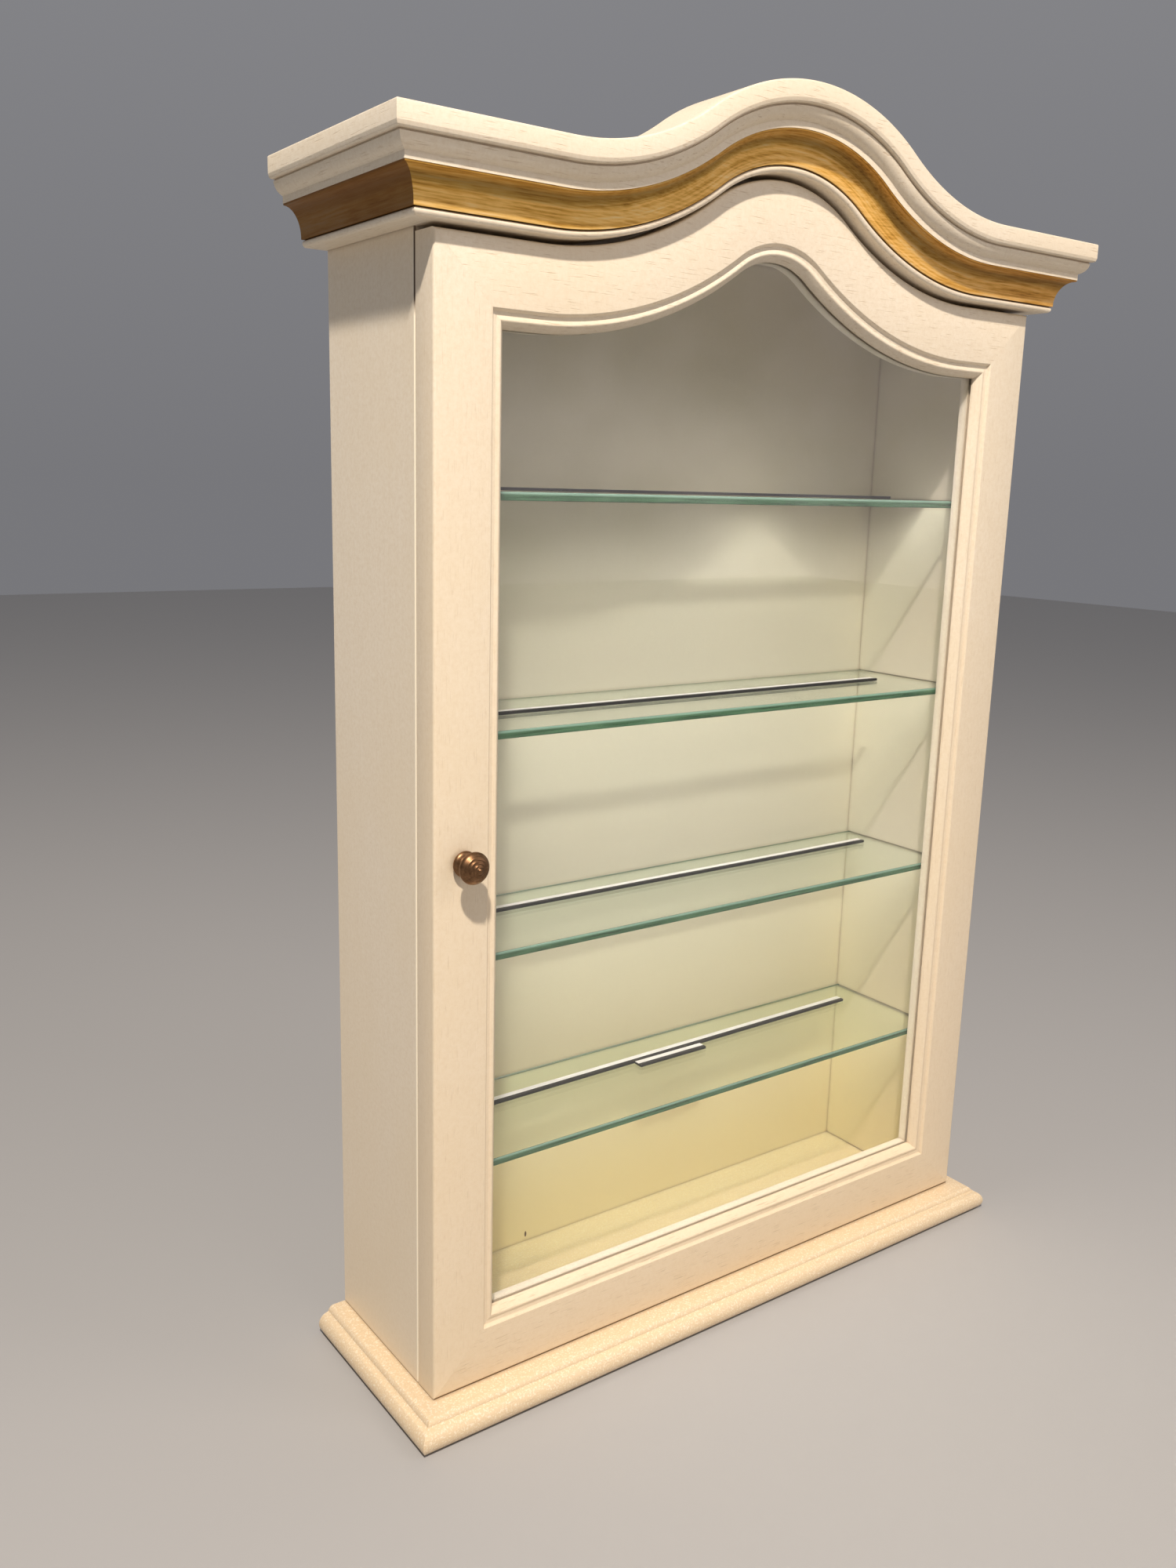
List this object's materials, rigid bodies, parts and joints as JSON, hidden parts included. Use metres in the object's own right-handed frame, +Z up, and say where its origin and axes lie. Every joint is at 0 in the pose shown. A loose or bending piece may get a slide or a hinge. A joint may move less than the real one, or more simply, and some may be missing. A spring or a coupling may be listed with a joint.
{
  "type": "curio cabinet",
  "caption": "Shallow painted wall cabinet with a gilded serpentine cornice, an arched glazed door hinged on the right, glass shelves and a moulded base board.",
  "frame": {"origin": "middle of the cabinet's bounding footprint, on the plane of the base board's underside", "axes": "+Z up, +Y towards the wall behind the cabinet, +X to the right of someone facing the door"},
  "size_m": [0.55, 0.1524, 0.7988],
  "materials": {
    "cream_paint": "cream paint on pine, slightly yellowed",
    "gilt": "streaky gold paint",
    "door_glass": "clear float glass",
    "shelf_glass": "clear float glass with green edges",
    "brass": "dark aged brass",
    "steel": "zinc plated",
    "catch_plastic": "moulded",
    "strip": "white top, dark edge"
  },
  "bodies": {
    "cabinet": {"back_panel": "cream_paint", "base_board": "cream_paint", "catch_magnet": "catch_plastic", "catch_screw": "steel", "cornice_bead_front": "cream_paint", "cornice_bead_left": "cream_paint", "cornice_bead_right": "cream_paint", "cornice_cove_front": "gilt", "cornice_cove_left": "gilt", "cornice_cove_right": "gilt", "cornice_crown_front": "cream_paint", "cornice_crown_left": "cream_paint", "cornice_crown_right": "cream_paint", "glass_shelf_1": "shelf_glass", "glass_shelf_2": "shelf_glass", "glass_shelf_3": "shelf_glass", "glass_shelf_4": "shelf_glass", "hanging_plate_left": "steel", "hanging_plate_right": "steel", "hanging_screw_left_inner": "steel", "hanging_screw_left_outer": "steel", "hanging_screw_right_inner": "steel", "hanging_screw_right_outer": "steel", "head_rail": "cream_paint", "hinge_lower_cabinet_leaf": "brass", "hinge_lower_cabinet_screw_bottom": "steel", "hinge_lower_cabinet_screw_top": "steel", "hinge_lower_pin": "brass", "hinge_upper_cabinet_leaf": "brass", "hinge_upper_cabinet_screw_bottom": "steel", "hinge_upper_cabinet_screw_top": "steel", "hinge_upper_pin": "brass", "shelf_strip_1": "strip", "shelf_strip_1_short": "strip", "shelf_strip_2": "strip", "shelf_strip_3": "strip", "shelf_strip_4": "strip", "side_panel_left": "cream_paint", "side_panel_right": "cream_paint", "top_panel": "cream_paint"},
    "door": {"catch_strike": "steel", "door_glass": "door_glass", "door_rail_bottom": "cream_paint", "door_rail_top": "cream_paint", "door_stile_left": "cream_paint", "door_stile_right": "cream_paint", "glazing_bead_bottom": "cream_paint", "glazing_bead_left": "cream_paint", "glazing_bead_right": "cream_paint", "glazing_bead_top": "cream_paint", "hinge_lower_door_leaf": "brass", "hinge_lower_door_screw_bottom": "steel", "hinge_lower_door_screw_top": "steel", "hinge_upper_door_leaf": "brass", "hinge_upper_door_screw_bottom": "steel", "hinge_upper_door_screw_top": "steel", "knob": "brass", "knob_screw": "steel", "strike_screw": "steel"}
  },
  "joints": [
    {"name": "door_hinge", "type": "hinge", "parent": "cabinet", "child": "door", "pos_m": [0.243, -0.02845, 0.36], "axis": [0, 0, 1], "range_deg": [0, 180]}
  ]
}
